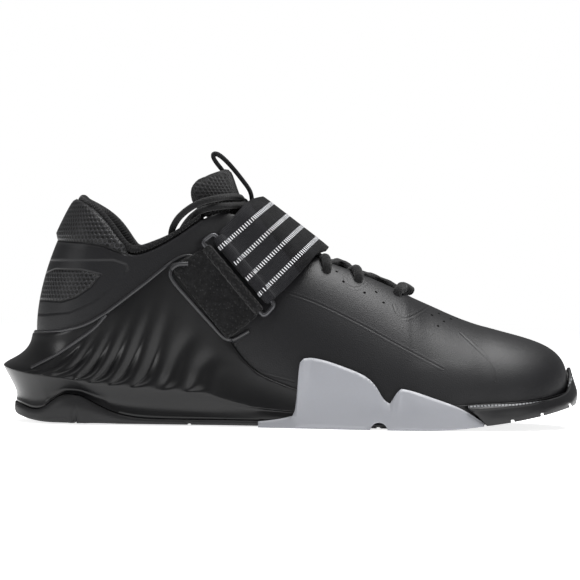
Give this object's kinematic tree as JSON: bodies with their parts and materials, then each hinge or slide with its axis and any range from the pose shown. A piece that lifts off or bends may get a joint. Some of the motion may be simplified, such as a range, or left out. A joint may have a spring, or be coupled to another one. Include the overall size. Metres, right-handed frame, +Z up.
{
  "type": "weightlifting shoe",
  "caption": "Low weightlifting shoe with a raised heel in a flared, fluted cradle, hollow leather upper, instep strap through a wire ring, padded collar and round laces.",
  "frame": {"origin": "on the ground plane, under the middle of the shoe's bounding box without its free lace", "axes": "+X from heel to toe, +Y towards the medial side, +Z up"},
  "size_m": [0.3112, 0.1106, 0.1462],
  "materials": {
    "outsole": "matte",
    "midsole": "satin",
    "upper": "satin",
    "insole": "matte",
    "sidewall": "matte",
    "toe_bumper": "matte",
    "collar": "knit",
    "tongue": "mesh",
    "strap": "woven",
    "anchor_tab": "brushed",
    "strap_ring": "satin",
    "lace": "braided",
    "pull_loop": "woven"
  },
  "bodies": {
    "root": {"outsole": "outsole", "midsole": "midsole", "upper": "upper", "insole": "insole", "sidewall_lateral": "sidewall", "sidewall_medial": "sidewall", "toe_bumper": "toe_bumper", "collar": "collar", "tongue": "tongue", "strap": "strap", "anchor_tab": "anchor_tab", "strap_ring": "strap_ring", "lace_bars": "lace", "lace_knot": "lace", "lace_loop_lateral": "lace", "lace_loop_medial": "lace", "lace_end_lateral": "lace", "lace_end_medial": "lace", "pull_loop": "pull_loop"}
  },
  "joints": []
}
